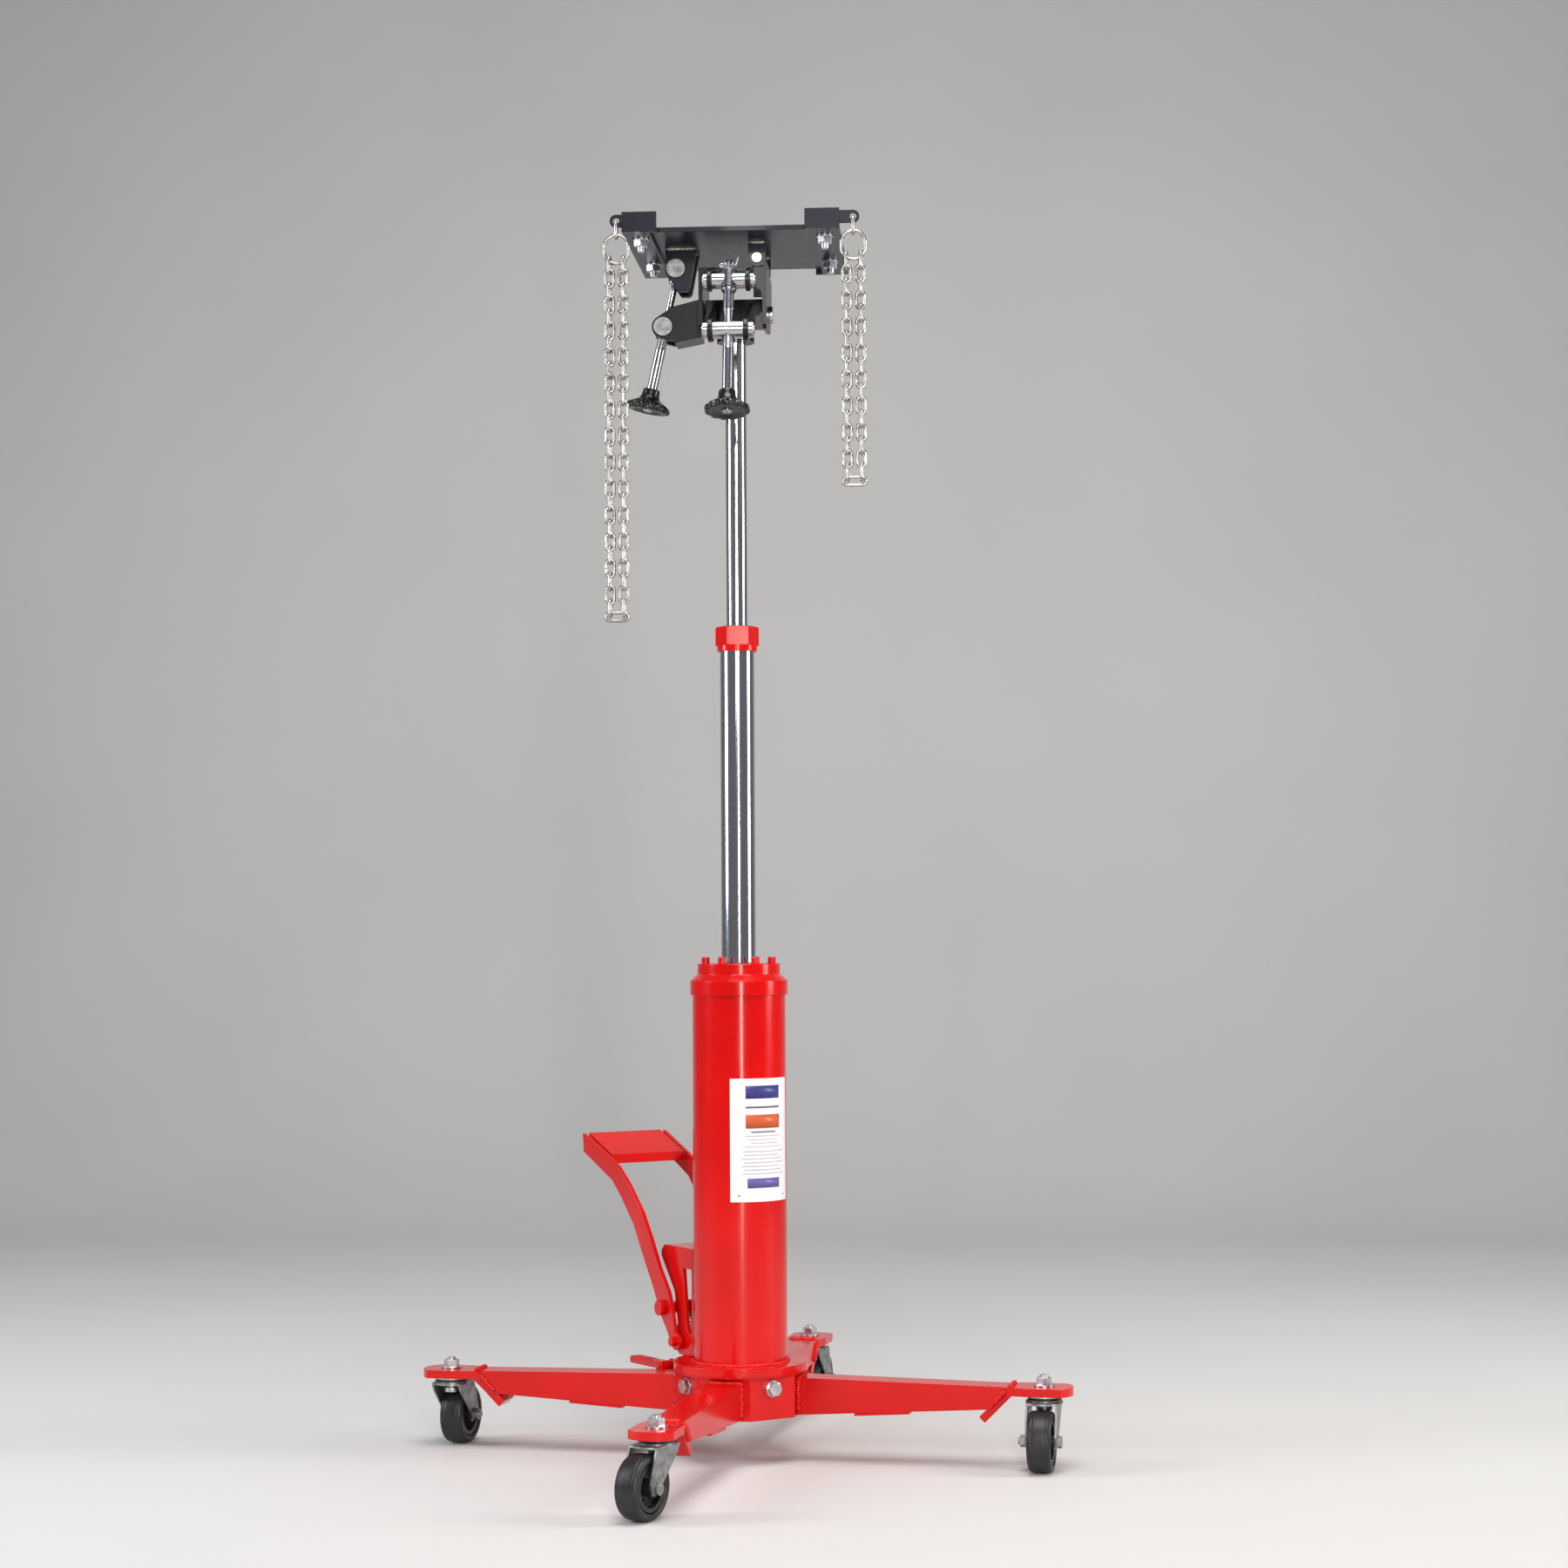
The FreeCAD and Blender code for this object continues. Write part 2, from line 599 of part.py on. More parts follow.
def corner_arm(side):
    """A flat bar under the plate with a wider upturned lip at each end and a chain eye in front."""
    x = TABLE_MID + side * ARM_X
    x0, x1 = x - ARM_WIDTH / 2, x + ARM_WIDTH / 2
    low = TABLE_BOTTOM - ARM_THICK
    arm = block(x0, x1, ARM_FRONT, ARM_BACK, low, TABLE_BOTTOM)
    lip0, lip1 = sorted((x + side * ARM_WIDTH / 2, x - side * (ARM_WIDTH / 2 + 9)))
    arm = joined(arm, block(lip0, lip1, ARM_FRONT, ARM_FRONT + 6, low, LIP_TOP),
                 block(lip0, lip1, ARM_BACK - 6, ARM_BACK, low, LIP_TOP))
    edge = x + side * (ARM_WIDTH / 2 - 8)
    eye_x = EYE_LEFT if side < 0 else EYE_RIGHT
    eye = lug((edge, EYE_Z), 8, (eye_x, EYE_Z), 7.9, ARM_FRONT + 1.2, ARM_FRONT + 4.8, "y")
    arm = joined(arm, eye).cut(disc(eye_x, EYE_Z, EYE_R, ARM_FRONT - 1, ARM_FRONT + 7, "y"))
    for bx, by in BOLTS:
        arm = arm.cut(disc(bx, by, 5.2, low - 5, TABLE_BOTTOM + 5, "z"))
    return arm


def table_bolt(x, y):
    """A countersunk bolt with its washer and nut under the arm."""
    low = TABLE_BOTTOM - ARM_THICK
    top = TABLE_BOTTOM + TABLE_THICK
    shank = lathe([(0, low - 17), (4.4, low - 17), (5, low - 16), (5, top - 4.7), (9.6, top - 0.1), (0, top - 0.1)])
    nut = turned(bolt_head(17, 8), 180, V(0, 0, 0), X)
    washer = cylinder(10.5, (0, 0, low - 2), (0, 0, low))
    return moved(joined(shank, moved(nut, 0, 0, low - 2), washer), x, y, 0)


def table_pin():
    x, z = TABLE_PIN
    pin = disc(x, z, TABLE_PIN_R, -53, 51, "y")
    return joined(pin, disc(x, z, 9.5, 51, 55, "y"))


# --- chains ---


def link(x, y, z, turn, long_side=LINK_LONG, wide=LINK_WIDE):
    """One welded link: two round bends and two straight sides, hanging from (x, y)."""
    bend = wide / 2 - WIRE_R
    straight = (long_side - wide) / 2
    top = Part.makeTorus(bend, WIRE_R, V(0, 0, straight), Y, 0, 360)
    top = top.common(block(-20, 20, -9, 9, straight, straight + 20))
    bottom = turned(top, 180, V(0, 0, 0), Y)
    left = cylinder(WIRE_R, (-bend, 0, -straight), (-bend, 0, straight))
    right = cylinder(WIRE_R, (bend, 0, -straight), (bend, 0, straight))
    whole = joined(top, bottom, left, right)
    return moved(turned(whole, turn), x, y, z)


def chain(side, count):
    """A doubled chain: a link in the eye, a ring, two strands, and the link where they turn back."""
    x = EYE_LEFT if side < 0 else EYE_RIGHT
    bend = LINK_LONG / 2 - WIRE_R
    wire = 2 * WIRE_R + LINK_GAP
    hook_z = EYE_Z - EYE_R + LINK_GAP + 1.1 + WIRE_R - bend
    ring_z = hook_z - bend + wire - (RING_LONG / 2 - WIRE_R)
    first = ring_z - (RING_LONG - RING_WIDE) / 2 - 6.3 - bend
    links = [link(x, EYE_Y, hook_z, 90), link(x, EYE_Y, ring_z, 0, RING_LONG, RING_WIDE)]
    for strand in (-1, 1):
        for i in range(count):
            turn = 90 if i % 2 == 0 else 0
            links.append(link(x + strand * STRAND_GAP / 2, EYE_Y, first - LINK_STEP * i, turn))
    last = first - LINK_STEP * (count - 1)
    loop = turned(link(0, 0, 0, 0, LINK_LONG + 7), 90, V(0, 0, 0), Y)
    links.append(moved(loop, x, EYE_Y, last - bend + wire - LINK_WIDE / 2 + WIRE_R))
    return links


# --- foot pump, made along +X and then turned to its place ---


def pedal_arm(side):
    """A curved flat bar that leans out a little towards the pad."""
    inner = [(84, 148), (88, 178), (95, 200), (115, 229), (133, 265), (153, 298), (184, 331), (211, 353), (240, 366), (305, 391)]
    outer = [(305, 367), (229, 334), (208, 315), (177, 280), (154, 237), (132, 199), (121, 172), (104, 150), (95, 134)]
    arm = plate(inner + outer, 45, 50, "y")
    arm = joined(arm, disc(*PIVOT, 11, 45, 50, "y"))
    arm = turned(arm, -3.8, V(0, 45, ROLLER[1]), X)
    arm = arm.cut(disc(*PIVOT, 6.0, 20, 70, "y")).cut(disc(*ROLLER, 6.0, 20, 70, "y"))
    if side < 0:
        arm = arm.mirror(V(0, 0, 0), Y)
    return arm


def pedal_frame():
    pad = plate([(240, 366), (305, 391), (305, 386.5), (240, 361.5)], -54.5, 54.5, "y")
    lip = plate([(240, 366), (244, 366), (244, 354), (240, 354)], -54.5, 54.5, "y")
    return turned(joined(pad, lip, pedal_arm(1), pedal_arm(-1)), PUMP_ANGLE)


def pedal_pins():
    pivot = disc(*PIVOT, 5.9, -54, 54, "y")
    roller = joined(disc(*ROLLER, 5.9, -56, 56, "y"), disc(*ROLLER, ROLLER_R, -30, 30, "y"))
    ends = []
    for side in (-1, 1):
        low, high = sorted((side * 51, side * 57))
        ends.append(disc(*ROLLER, 9.5, low, high, "y"))
    return turned(pivot, PUMP_ANGLE), turned(joined(roller, *ends), PUMP_ANGLE)


def pedal_bracket():
    """A welded channel on the column: two cheeks for the pedal's pivot, under a top plate."""
    cheeks = []
    outline = [(50, 121.2), (50, 257), (126, 257), (134, 250), (134, 242), (100, 200), (92, 160), (100, 142),
               (100, 132), (92, 124), (88, 121.2)]
    for side in (-1, 1):
        low, high = sorted((side * 34, side * 39))
        cheek = plate(outline, low, high, "y")
        window = plate([(56, 231), (78, 231), (74, 200), (70, 162), (64, 150), (56, 150)], low - 1, high + 1, "y")
        cheeks.append(cheek.cut(window))
    top = plate([(50, 252), (50, 257), (126, 257), (128, 252)], -36, 36, "y")
    back = block(55, 62, -36, 36, 226, 252)
    bracket = joined(cheeks[0], cheeks[1], top, back)
    bracket = bracket.cut(cylinder(TUBE_R, (0, 0, 100), (0, 0, 300)))
    bracket = bracket.cut(disc(*PIVOT, 6.0, -60, 60, "y"))
    return turned(bracket, PUMP_ANGLE)


def pump_body():
    """The valve block bolted to the hub, with the pump barrel on it."""
    base = block(HUB_APOTHEM, 134, -24, 24, 62, 96)
    barrel = disc(PUMP_OUT, 0, 17, 95, 134, "z")
    gland = disc(PUMP_OUT, 0, 14.5, 134, 142, "z")
    body = joined(base, barrel, gland).cut(disc(PUMP_OUT, 0, 8.0 + RUN_FIT, 100, 150, "z"))
    return turned(body, PUMP_ANGLE)


def pump_plunger():
    rod = disc(PUMP_OUT, 0, 8.0, 118, 165, "z")
    cap = disc(PUMP_OUT, 0, 15, 165, ROLLER[1] - ROLLER_R - 0.3, "z")
    return turned(joined(rod, cap), PUMP_ANGLE)


def pump_spring():
    """A coil of square-cut wire turns, kept as plain rings so that it can be squeezed."""
    helix = Part.makeHelix(4.6, 18.4, 11.3)
    circle = Part.Wire(Part.makeCircle(1.1, V(11.3, 0, 0), Y))
    coil = Part.Wire(helix).makePipeShell([circle], True, True)
    return turned(moved(coil, PUMP_OUT, 0, 144.4), PUMP_ANGLE)


def release_bracket():
    """A small fork on the valve block, for the release pedal."""
    foot = block(96, 120, 24, 42, 76, 88)
    cheeks = joined(block(100, 116, 34, 38, 76, 112), block(100, 116, 54, 58, 76, 112), block(96, 120, 34, 58, 76, 88))
    body = joined(foot, cheeks).cut(disc(108, 105, 3.6, 30, 80, "y"))
    pin = disc(108, 105, 3.5, 32, 60, "y")
    return turned(body, PUMP_ANGLE), turned(pin, PUMP_ANGLE)


def release_pedal():
    """A short flat lever with a toothed tread."""
    bar = plate([(108, 100.5), (192, 99), (194, 103), (192, 108), (108, 109.5)], 38.5, 53.5, "y")
    lever = joined(bar, disc(108, 105, 6.5, 38.5, 53.5, "y"))
    for i in range(8):
        tooth = plate([(136 + 7 * i, 110), (139.5 + 7 * i, 105.4), (143 + 7 * i, 110)], 38, 54, "y")
        lever = lever.cut(tooth)
    return turned(lever.cut(disc(108, 105, 3.5 + FREE_FIT, 30, 80, "y")), PUMP_ANGLE)


def build():
    os.makedirs("parts", exist_ok=True)
    export("base_hub", base_hub())
    for name, angle in LEG_ANGLES.items():
        export("leg_" + name, leg(angle))
        export("caster_fork_" + name, at_caster(fork(), name), at_caster(axle(), name))
        export("caster_wheel_" + name, at_caster(wheel_core(), name))
        export("caster_tyre_" + name, at_caster(tyre(), name))
    angles = list(LEG_ANGLES.values())
    export("foot_plates", *[foot_plate(a) for a in angles])
    export("caster_studs", *[caster_stud(a) for a in angles])
    export("hub_bolts", *[hub_bolt(a + 45) for a in angles if a != LEG_ANGLES["back"]])
    export("reservoir_tube", reservoir_tube())
    export("oil_plug", oil_plug())
    export("pressure_cylinder", pressure_cylinder())
    export("column_cap", column_cap())
    export("cap_screws", *[cap_screw(60 * i + 4.6) for i in range(6)])
    export("lower_wiper", wiper(LOWER_RAM_R, 27, 615, 620))
    export("name_plate", name_plate())
    export("lower_ram", lower_ram())
    export("lower_piston", lower_piston())
    export("gland_nut", gland_nut())
    export("upper_wiper", wiper(UPPER_RAM_R, 18, 1043.5, 1047.5))
    export("upper_ram", upper_ram())
    export("upper_piston", upper_piston())
    export("ram_head", ram_head())
    export("tilt_frame", tilt_frame())
    export("tilt_pin", tilt_pin())
    export("front_upper_trunnion", front_upper_trunnion())
    export("front_lower_trunnion", front_lower_trunnion())
    export("front_screw", front_screw())
    export("castle_nut", castle_nut(), split_pin())
    export("front_knob", nodded(knob((0, FRONT_TOP[0], FRONT_TOP[1] - 177))))
    export("side_upper_trunnion", trunnion(SIDE_TOP, SCREW_END_R + RUN_FIT))
    export("side_lower_trunnion", trunnion(SIDE_LOW, SCREW_R + SCREW_CLEAR))
    export("side_screw", side_screw())
    export("side_knob", side_knob())
    export("table_plate", table_plate())
    export("corner_arms", corner_arm(-1), corner_arm(1))
    export("table_bolts", *[table_bolt(x, y) for x, y in BOLTS])
    export("table_pin", table_pin())
    export("chain_left", *chain(-1, 27))
    export("chain_right", *chain(1, 17))
    export("pedal_frame", pedal_frame())
    export("pedal_pins", *pedal_pins())
    export("pedal_bracket", pedal_bracket())
    export("pump_body", pump_body())
    export("pump_plunger", pump_plunger())
    export("pump_spring", pump_spring())
    export("release_bracket", *release_bracket())
    export("release_pedal", release_pedal())


build()
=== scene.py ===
# %% [markdown]
# # A vertical transmission jack
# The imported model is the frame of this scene: its nodes already stand in the right place, in
# metres, with the floor at z = 0. What is left for Blender is the finish of every surface, and
# the pieces whose real shape is softer or finer than a solid model cares to be: rubber tyres,
# welded chain, moulded hand wheels, screw threads, weld beads and a printed sticker.

# %% Load the frame
import bmesh
import bpy
import json
import math
import numpy as np
from mathutils import Matrix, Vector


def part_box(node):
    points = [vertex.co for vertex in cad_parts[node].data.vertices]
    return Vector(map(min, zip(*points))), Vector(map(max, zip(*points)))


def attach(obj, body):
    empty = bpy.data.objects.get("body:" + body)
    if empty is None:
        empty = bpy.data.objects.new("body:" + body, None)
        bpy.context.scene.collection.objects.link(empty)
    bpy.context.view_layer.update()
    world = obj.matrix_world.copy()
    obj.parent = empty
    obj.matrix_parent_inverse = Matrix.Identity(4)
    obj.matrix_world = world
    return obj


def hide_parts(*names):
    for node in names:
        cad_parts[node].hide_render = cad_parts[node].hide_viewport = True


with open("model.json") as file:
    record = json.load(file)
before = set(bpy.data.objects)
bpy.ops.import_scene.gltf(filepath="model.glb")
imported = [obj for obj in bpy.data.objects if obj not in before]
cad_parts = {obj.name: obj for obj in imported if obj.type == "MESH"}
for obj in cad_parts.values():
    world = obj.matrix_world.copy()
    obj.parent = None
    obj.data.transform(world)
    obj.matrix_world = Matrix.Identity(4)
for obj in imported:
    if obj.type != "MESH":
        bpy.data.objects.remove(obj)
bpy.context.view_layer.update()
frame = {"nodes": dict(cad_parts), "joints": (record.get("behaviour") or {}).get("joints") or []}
nodes = frame["nodes"]
joints = {j["name"]: j for j in frame["joints"]}
TAU = 2 * math.pi

# %% [markdown]
# ## Camera
# The jack is seen from the front, a little from its right, from about waist height and far
# away, so the uprights stay nearly parallel. The camera is placed by its position, the
# direction it looks in, and a very small roll. A lens of about 68 mm on a 36 mm sensor gives
# the mild perspective of the four wheels.

# %% Place the camera
TURN = math.radians(4.62)
DISTANCE, HEIGHT = 3.7737, 0.6676
SENSOR, LENS = 36, 68.194  # mm
yaw, pitch, roll = (math.radians(a) for a in (0.891, 2.7256, -0.3294))

forward = np.array([math.sin(yaw) * math.cos(pitch), math.cos(yaw) * math.cos(pitch), math.sin(pitch)])
right = np.array([math.cos(yaw), -math.sin(yaw), 0.0])
upward = np.cross(right, forward)
right, upward = (math.cos(roll) * right + math.sin(roll) * upward,
                 math.cos(roll) * upward - math.sin(roll) * right)
local = Matrix(np.column_stack([right, upward, -forward]).tolist()).to_4x4()
local.translation = (0, -DISTANCE, HEIGHT)
camera = bpy.data.objects.new("camera", bpy.data.cameras.new("camera"))
camera.data.sensor_width = SENSOR
camera.data.lens = LENS
camera.data.clip_end = 50
camera.matrix_world = Matrix.Rotation(TURN, 4, "Z") @ local
bpy.context.scene.collection.objects.link(camera)
bpy.context.scene.camera = camera
print("camera at", [round(v, 3) for v in camera.matrix_world.translation])

# %% [markdown]
# ## Small tools
# Three helpers carry the whole lesson. One turns a hex colour into the linear numbers that
# Blender mixes with. One adds a shader node with its settings and its links. One turns a grid
# of points into a mesh: a closed tube, a ring or an open patch, with faces between neighbours.


# %% Colours and nodes
def linear(hex_colour, alpha=1.0):
    """sRGB hex to linear: values under 0.04045 are divided by 12.92, the rest follow a 2.4 power."""
    s = np.array([int(hex_colour[i:i + 2], 16) / 255 for i in (0, 2, 4)])
    low = s <= 0.04045
    return (*np.where(low, s / 12.92, ((s + 0.055) / 1.055) ** 2.4), alpha)


def add(tree, kind, settings, out=0):
    """Adds one shader node and returns the output asked for. In settings, a lower-case name is an
    attribute of the node; any other key is an input, linked if its value is a socket, else set."""
    node = tree.nodes.new("ShaderNode" + kind)
    for name, value in settings.items():
        if isinstance(name, str) and name[0].islower():
            setattr(node, name, value)
        elif isinstance(value, bpy.types.NodeSocket):
            tree.links.new(value, node.inputs[name])
        else:
            node.inputs[name].default_value = value
    return node.outputs[out] if node.outputs else node


def blank(name):
    """A new material whose tree is empty."""
    material = bpy.data.materials.new(name)
    material.use_nodes = True
    material.node_tree.nodes.clear()
    return material, material.node_tree


# %% Points to meshes
def surface(name, points, around=False, along=False, caps=False, smooth=True):
    """A mesh from an (m, n, 3) grid: around joins the last column to the first, along the rows.
    Caps close the two end rows with one face each."""
    m, n, _ = points.shape
    rows, columns = m if along else m - 1, n if around else n - 1
    i, j = np.meshgrid(np.arange(rows), np.arange(columns), indexing="ij")
    a, b = i * n + j, i * n + (j + 1) % n
    c, d = ((i + 1) % m) * n + (j + 1) % n, ((i + 1) % m) * n + j
    faces = np.stack([a, b, c, d], -1).reshape(-1, 4).tolist()
    if caps:
        faces += [list(range(n))[::-1], list(range((m - 1) * n, m * n))]
    mesh = bpy.data.meshes.new(name)
    mesh.from_pydata(points.reshape(-1, 3), [], faces)
    return finished(name, mesh, smooth)


def finished(name, mesh, smooth=True):
    """Turns the faces outwards and puts the mesh into the scene."""
    form = bmesh.new()
    form.from_mesh(mesh)
    bmesh.ops.recalc_face_normals(form, faces=form.faces)
    form.to_mesh(mesh)
    form.free()
    mesh.polygons.foreach_set("use_smooth", np.full(len(mesh.polygons), smooth))
    piece = bpy.data.objects.new(name, mesh)
    bpy.context.scene.collection.objects.link(piece)
    return piece


def together(name, pieces):
    """Joins separate meshes into one object."""
    form = bmesh.new()
    for piece in pieces:
        form.from_mesh(piece.data)
        bpy.data.objects.remove(piece)
    mesh = bpy.data.meshes.new(name)
    form.to_mesh(mesh)
    form.free()
    return finished(name, mesh)


def turning_frame(axis):
    """Three unit vectors: two across the axis, then the axis itself."""
    axis = np.array(axis, float) / np.linalg.norm(axis)
    helper = np.array([0, 0, 1.0]) if abs(axis[2]) < 0.9 else np.array([1.0, 0, 0])
    u = np.cross(helper, axis)
    u /= np.linalg.norm(u)
    return u, np.cross(axis, u), axis


def points_of(node):
    """Every corner of a CAD node, as an array."""
    co = np.zeros(len(nodes[node].data.vertices) * 3, np.float32)
    nodes[node].data.vertices.foreach_get("co", co)
    return co.reshape(-1, 3).astype(float)


def tube(path, radius, sides=10, closed=False, squash=1.0, up=(0, 0, 1)):
    """A round section of the given radius (one value or one per point) carried along a path."""
    radius = np.broadcast_to(radius, len(path))
    step = np.roll(path, -1, 0) - np.roll(path, 1, 0) if closed else np.gradient(path, axis=0)
    t = step / np.linalg.norm(step, axis=1, keepdims=True)
    side = np.cross(t, np.array(up, float))
    side /= np.linalg.norm(side, axis=1, keepdims=True)
    top = np.cross(side, t)
    angle = np.linspace(0, TAU, sides, endpoint=False)
    ring = np.cos(angle)[None, :, None] * side[:, None] + squash * np.sin(angle)[None, :, None] * top[:, None]
    return path[:, None] + radius[:, None, None] * ring


# %% [markdown]
# ## Paint
# The base, column and pedal are sprayed in a glossy alkyd enamel over primer. Enamel shows
# three things besides its colour: a soft orange-peel ripple about 1.5 mm across, which only the
# highlights reveal; dust that settles on the faces that look up; and chips along the edges,
# where the dark primer shows. The chips are found by comparing the true normal with the one
# that a Bevel node gives: they differ only near an edge. The same node rounds the edges'
# highlights, which the flat triangles of a solid model can't do.


# %% Enamel
def enamel(name, colour, deep, rough, coat, chips=0.5, dust=0.12, peel=0.06):
    """Sprayed alkyd enamel over dark primer: chips at edges, dust on top faces, orange peel."""
    material, tree = blank(name)
    place = add(tree, "TexCoord", {}, "Object")
    normal = add(tree, "NewGeometry", {}, "Normal")
    edge = add(tree, "Bevel", {"samples": 8, "Radius": 0.0014})
    match = add(tree, "VectorMath", {"operation": "DOT_PRODUCT", 0: edge, 1: normal}, "Value")
    near_edge = add(tree, "MapRange", {"Value": match, "From Min": 0.94, "From Max": 0.78})
    # chips are 3 to 10 mm long, so the noise that picks them has cells of about 18 mm, with detail
    patches = add(tree, "TexNoise", {"Vector": place, "Scale": 55.0, "Detail": 6.0, "Roughness": 0.65})
    chosen = add(tree, "MapRange", {"Value": patches, "From Min": 0.66 - 0.14 * chips,
                                    "From Max": 0.72 - 0.14 * chips})
    worn = add(tree, "Math", {"operation": "MULTIPLY", 0: near_edge, 1: chosen})
    # the sprayed coat is a little thicker in one place than in another, over about 100 mm
    cloud = add(tree, "TexNoise", {"Vector": place, "Scale": 9.0, "Detail": 4.0})
    drift = add(tree, "MapRange", {"Value": cloud, "From Min": 0.3, "From Max": 0.7})
    base = add(tree, "Mix", {"data_type": "RGBA", 0: drift, 6: linear(colour), 7: linear(deep)}, 2)
    up = add(tree, "SeparateXYZ", {0: normal}, 2)
    level = add(tree, "MapRange", {"Value": up, "From Min": 0.5, "To Max": dust})
    grime = add(tree, "TexNoise", {"Vector": place, "Scale": 140.0, "Detail": 5.0, "Roughness": 0.7})
    specks = add(tree, "MapRange", {"Value": grime, "From Min": 0.35, "From Max": 0.75})
    dusty = add(tree, "Math", {"operation": "MULTIPLY", 0: level, 1: specks})
    base = add(tree, "Mix", {"data_type": "RGBA", 0: dusty, 6: base, 7: linear("8E8478")}, 2)
    base = add(tree, "Mix", {"data_type": "RGBA", 0: worn, 6: base, 7: linear("33211F")}, 2)
    fine = add(tree, "TexNoise", {"Vector": place, "Scale": 650.0, "Detail": 1.0})
    bump = add(tree, "Bump", {"Strength": peel, "Distance": 0.0006, "Height": fine, "Normal": edge})
    haze = add(tree, "MapRange", {"Value": grime, "From Min": 0.3, "From Max": 0.8, "To Min": rough,
                                  "To Max": rough + 0.12})
    roughness = add(tree, "Math", {"operation": "ADD", "use_clamp": True, 0: haze, 1: worn})
    shader = add(tree, "BsdfPrincipled", {"Specular IOR Level": 0.3, "Coat Weight": coat, "Coat Roughness": 0.05,
                                          "Base Color": base, "Roughness": roughness, "Normal": bump})
    add(tree, "OutputMaterial", {"Surface": shader})
    return material


red_enamel = enamel("red_enamel", "D60D0A", "C20806", 0.13, 0.14, chips=0.2, dust=0.03, peel=0.02)
navy_enamel = enamel("navy_enamel", "0C1026", "070914", 0.26, 0.1, chips=0.7, dust=0.08)
black_enamel = enamel("black_enamel", "060607", "040405", 0.26, 0.1, chips=0.6, dust=0.06)
print("enamels ready")

# %% [markdown]
# ## Bare and plated metals
# The rams are ground and hard-chromed: almost a mirror, with fine rings around the rod from the
# grinding and a thin film of oil. Screws, nuts, forks and chains are zinc plated, which is
# paler, cloudier and rougher. The pins inside the pump are plain turned steel. A metal has no
# diffuse colour, so its base colour is its reflection.


# %% Metals
def metal(name, colour, second, rough, spread, across=(1, 1, 1), scale=120.0, relief=0.05, grime="2A2622", soil=0.25):
    """A metal whose tone and roughness drift with one noise, stretched by the across factors."""
    material, tree = blank(name)
    place = add(tree, "TexCoord", {}, "Object")
    held = add(tree, "Mapping", {"Vector": place, "Scale": across})
    edge = add(tree, "Bevel", {"samples": 6, "Radius": 0.0008})
    grain = add(tree, "TexNoise", {"Vector": held, "Scale": scale, "Detail": 4.0, "Roughness": 0.6})
    tone = add(tree, "MapRange", {"Value": grain, "From Min": 0.35, "From Max": 0.65})
    base = add(tree, "Mix", {"data_type": "RGBA", 0: tone, 6: linear(colour), 7: linear(second)}, 2)
    cloud = add(tree, "TexNoise", {"Vector": place, "Scale": 30.0, "Detail": 5.0, "Roughness": 0.6})
    soiled = add(tree, "MapRange", {"Value": cloud, "From Min": 0.58, "From Max": 0.72, "To Max": soil})
    base = add(tree, "Mix", {"data_type": "RGBA", 0: soiled, 6: base, 7: linear(grime)}, 2)
    roughness = add(tree, "MapRange", {"Value": grain, "From Min": 0.3, "From Max": 0.7, "To Min": rough,
                                       "To Max": rough + spread})
    bump = add(tree, "Bump", {"Strength": relief, "Distance": 0.0004, "Height": grain, "Normal": edge})
    shader = add(tree, "BsdfPrincipled", {"Metallic": 1.0, "Base Color": base, "Roughness": roughness,
                                          "Normal": bump})
    add(tree, "OutputMaterial", {"Surface": shader})
    return material


hard_chrome = metal("hard_chrome_ground", "DEDEE2", "CDCED3", 0.07, 0.05, (0.02, 0.02, 30), 12.0, 0.015, "8A8580", 0.12)
zinc_plate = metal("zinc_plate", "D9DADB", "B9BCC0", 0.24, 0.16, soil=0.3)
dull_zinc = metal("zinc_plate_weathered", "A7A8A8", "868889", 0.36, 0.2, soil=0.5)
turned_steel = metal("turned_steel", "8C8C8C", "6E6E70", 0.28, 0.12, soil=0.4)
bright_rod = metal("drawn_bright_rod", "BDBEC1", "A6A7AB", 0.16, 0.05, (1, 1, 0.15), 60.0, 0.01, "6A6866", 0.2)
chain_zinc = metal("zinc_plated_chain", "C9C6C0", "9C9994", 0.20, 0.12, scale=200.0, soil=0.45)
weld_metal = metal("painted_over_weld", "B8B6B0", "8F8C86", 0.38, 0.2, scale=300.0, relief=0.2)
print("metals ready")

# %% [markdown]
# ## Rubber and plastic
# The tyres are moulded black rubber: matt, slightly grey from floor dust in clouds.
# The hand wheels and the wheel cores are moulded plastic with a fine spark-eroded texture,
# about half a millimetre across, drawn a little coarser here so that it shows.


# %% Polymers
def polymer(name, colour, dusty, rough, scale, relief, dust):
    """Moulded rubber or plastic: a fine mould grain in the bump, and floor dust in clouds."""
    material, tree = blank(name)
    place = add(tree, "TexCoord", {}, "Object")
    edge = add(tree, "Bevel", {"samples": 4, "Radius": 0.001})
    grain = add(tree, "TexNoise", {"Vector": place, "Scale": scale, "Detail": 3.0})
    cloud = add(tree, "TexNoise", {"Vector": place, "Scale": 70.0, "Detail": 6.0, "Roughness": 0.7})
    cover = add(tree, "MapRange", {"Value": cloud, "From Min": 0.42, "From Max": 0.72, "To Max": dust})
    base = add(tree, "Mix", {"data_type": "RGBA", 0: cover, 6: linear(colour), 7: linear(dusty)}, 2)
    bump = add(tree, "Bump", {"Strength": relief, "Distance": 0.0005, "Height": grain, "Normal": edge})
    shader = add(tree, "BsdfPrincipled", {"IOR": 1.5, "Roughness": rough, "Base Color": base, "Normal": bump})
    add(tree, "OutputMaterial", {"Surface": shader})
    return material


